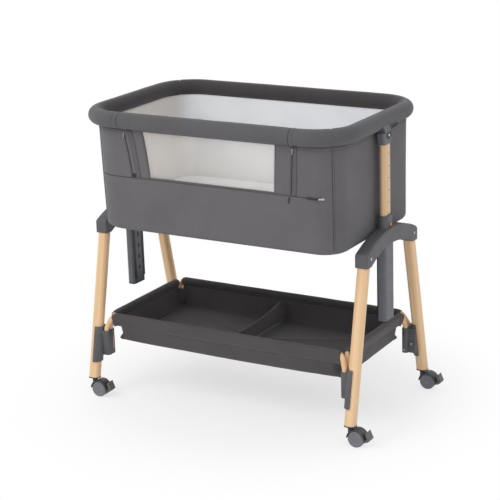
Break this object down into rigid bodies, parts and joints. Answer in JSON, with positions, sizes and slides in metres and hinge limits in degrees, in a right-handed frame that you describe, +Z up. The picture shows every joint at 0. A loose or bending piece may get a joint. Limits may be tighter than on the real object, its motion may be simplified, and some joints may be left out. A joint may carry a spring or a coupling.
{
  "type": "bedside_sleeper_crib",
  "caption": "Bedside sleeper crib: padded grey fabric bassinet with a mesh window in its drop side, on a height-adjustable wheeled stand of wood-look tube with a fabric storage basket.",
  "frame": {"origin": "on the floor under the middle of the crib, midway between the two leg frames", "axes": "+X along the crib to its right end as seen from the drop side, -Y out through the drop side, +Z up"},
  "size_m": [0.998, 0.591, 0.9345],
  "materials": {
    "wood_look_tube": "satin wood-look coating",
    "basket_tube": "satin wood-look coating",
    "rim_metal": "plain",
    "fitting_plastic": "matte",
    "grey_plastic": "fine matte texture",
    "copper_button": "satin copper colour",
    "rim_fabric": "melange weave, padded",
    "wall_fabric": "melange weave",
    "basket_fabric": "melange weave",
    "lining_fabric": "soft light knit",
    "window_mesh": "see-through mesh",
    "mattress_cover": "smooth quilted cover",
    "board": "plain board",
    "zip_metal": "satin",
    "caster_wheel": "satin",
    "caster_hood": "matte",
    "caster_pedal": "matte"
  },
  "bodies": {
    "root": {"left_arch": "grey_plastic", "right_arch": "grey_plastic", "leg_end_plugs": "grey_plastic", "left_post": "grey_plastic", "right_post": "grey_plastic", "post_end_caps": "grey_plastic", "basket_rear_tube": "basket_tube", "basket_front_tube": "basket_tube", "basket_right_tube": "basket_tube", "basket_left_tube": "basket_tube", "storage_basket": "basket_fabric", "basket_divider": "basket_fabric", "rear_right_leg": "wood_look_tube", "front_right_leg": "wood_look_tube", "rear_left_leg": "wood_look_tube", "front_left_leg": "wood_look_tube", "rear_right_bracket": "grey_plastic", "front_right_bracket": "grey_plastic", "rear_left_bracket": "grey_plastic", "front_left_bracket": "grey_plastic"},
    "left_upright_slide": {"left_upright": "wood_look_tube", "left_cap": "grey_plastic"},
    "right_upright_slide": {"right_upright": "wood_look_tube", "right_cap": "grey_plastic"},
    "left_release": {"left_button": "copper_button"},
    "right_release": {"right_button": "copper_button"},
    "bassinet": {"rim_tube": "rim_metal", "rim_end_plugs": "fitting_plastic", "rim_padding": "rim_fabric", "outer_skirt": "wall_fabric", "inner_lining": "lining_fabric", "base_board": "board", "mattress": "mattress_cover", "seam_zip_pulls": "zip_metal"},
    "drop_side": {"drop_rail_tube": "rim_metal", "drop_rail_saddles": "fitting_plastic", "drop_rail_padding": "rim_fabric", "drop_panel": "wall_fabric", "mesh_window": "window_mesh", "side_zip_sliders": "zip_metal"},
    "rear_right_caster": {"rear_right_caster_housing": "caster_hood"},
    "rear_right_wheels": {"rear_right_caster_wheels": "caster_wheel"},
    "rear_right_pedal": {"rear_right_caster_pedal": "caster_pedal"},
    "front_right_caster": {"front_right_caster_housing": "caster_hood"},
    "front_right_wheels": {"front_right_caster_wheels": "caster_wheel"},
    "front_right_pedal": {"front_right_caster_pedal": "caster_pedal"},
    "rear_left_caster": {"rear_left_caster_housing": "caster_hood"},
    "rear_left_wheels": {"rear_left_caster_wheels": "caster_wheel"},
    "rear_left_pedal": {"rear_left_caster_pedal": "caster_pedal"},
    "front_left_caster": {"front_left_caster_housing": "caster_hood"},
    "front_left_wheels": {"front_left_caster_wheels": "caster_wheel"},
    "front_left_pedal": {"front_left_caster_pedal": "caster_pedal"}
  },
  "joints": [
    {"name": "left_height", "type": "slide", "parent": "root", "child": "left_upright_slide", "axis": [0, 0, 1], "range_m": [-0.1825, 0]},
    {"name": "tilt", "type": "hinge", "parent": "left_upright_slide", "child": "bassinet", "pos_m": [-0.43, 0, 0.907], "axis": [0, 1, 0], "range_deg": [0, 2.43]},
    {"name": "right_height", "type": "slide", "parent": "left_upright_slide", "child": "right_upright_slide", "axis": [0, 0, 1], "range_m": [-0.0366, 0]},
    {"name": "drop_fold", "type": "hinge", "parent": "bassinet", "child": "drop_side", "pos_m": [0, -0.262, 0.732], "axis": [1, 0, 0], "range_deg": [0, 165]},
    {"name": "left_button_press", "type": "slide", "parent": "root", "child": "left_release", "axis": [1, 0, 0], "range_m": [0, 0.002], "stiffness_N_per_m": 500, "springref_m": -0.004},
    {"name": "right_button_press", "type": "slide", "parent": "root", "child": "right_release", "axis": [-1, 0, 0], "range_m": [0, 0.002], "stiffness_N_per_m": 500, "springref_m": -0.004},
    {"name": "rear_right_swivel", "type": "hinge", "parent": "root", "child": "rear_right_caster", "pos_m": [0.454, 0.253, 0.06], "axis": [0, 0, 1], "continuous": true},
    {"name": "rear_right_roll", "type": "hinge", "parent": "rear_right_caster", "child": "rear_right_wheels", "pos_m": [0.476, 0.253, 0.025], "axis": [0, 1, 0], "continuous": true},
    {"name": "rear_right_brake", "type": "hinge", "parent": "rear_right_caster", "child": "rear_right_pedal", "pos_m": [0.507, 0.253, 0.022], "axis": [0, 1, 0], "range_deg": [0, 20]},
    {"name": "front_right_swivel", "type": "hinge", "parent": "root", "child": "front_right_caster", "pos_m": [0.454, -0.253, 0.06], "axis": [0, 0, 1], "continuous": true},
    {"name": "front_right_roll", "type": "hinge", "parent": "front_right_caster", "child": "front_right_wheels", "pos_m": [0.476, -0.253, 0.025], "axis": [0, 1, 0], "continuous": true},
    {"name": "front_right_brake", "type": "hinge", "parent": "front_right_caster", "child": "front_right_pedal", "pos_m": [0.507, -0.253, 0.022], "axis": [0, 1, 0], "range_deg": [0, 20]},
    {"name": "rear_left_swivel", "type": "hinge", "parent": "root", "child": "rear_left_caster", "pos_m": [-0.454, 0.253, 0.06], "axis": [0, 0, 1], "continuous": true},
    {"name": "rear_left_roll", "type": "hinge", "parent": "rear_left_caster", "child": "rear_left_wheels", "pos_m": [-0.432, 0.253, 0.025], "axis": [0, 1, 0], "continuous": true},
    {"name": "rear_left_brake", "type": "hinge", "parent": "rear_left_caster", "child": "rear_left_pedal", "pos_m": [-0.401, 0.253, 0.022], "axis": [0, 1, 0], "range_deg": [0, 20]},
    {"name": "front_left_swivel", "type": "hinge", "parent": "root", "child": "front_left_caster", "pos_m": [-0.454, -0.253, 0.06], "axis": [0, 0, 1], "continuous": true},
    {"name": "front_left_roll", "type": "hinge", "parent": "front_left_caster", "child": "front_left_wheels", "pos_m": [-0.432, -0.253, 0.025], "axis": [0, 1, 0], "continuous": true},
    {"name": "front_left_brake", "type": "hinge", "parent": "front_left_caster", "child": "front_left_pedal", "pos_m": [-0.401, -0.253, 0.022], "axis": [0, 1, 0], "range_deg": [0, 20]}
  ],
  "couplings": [
    {"joint": "right_height", "follows": "tilt", "m_per_rad": -0.86}
  ]
}
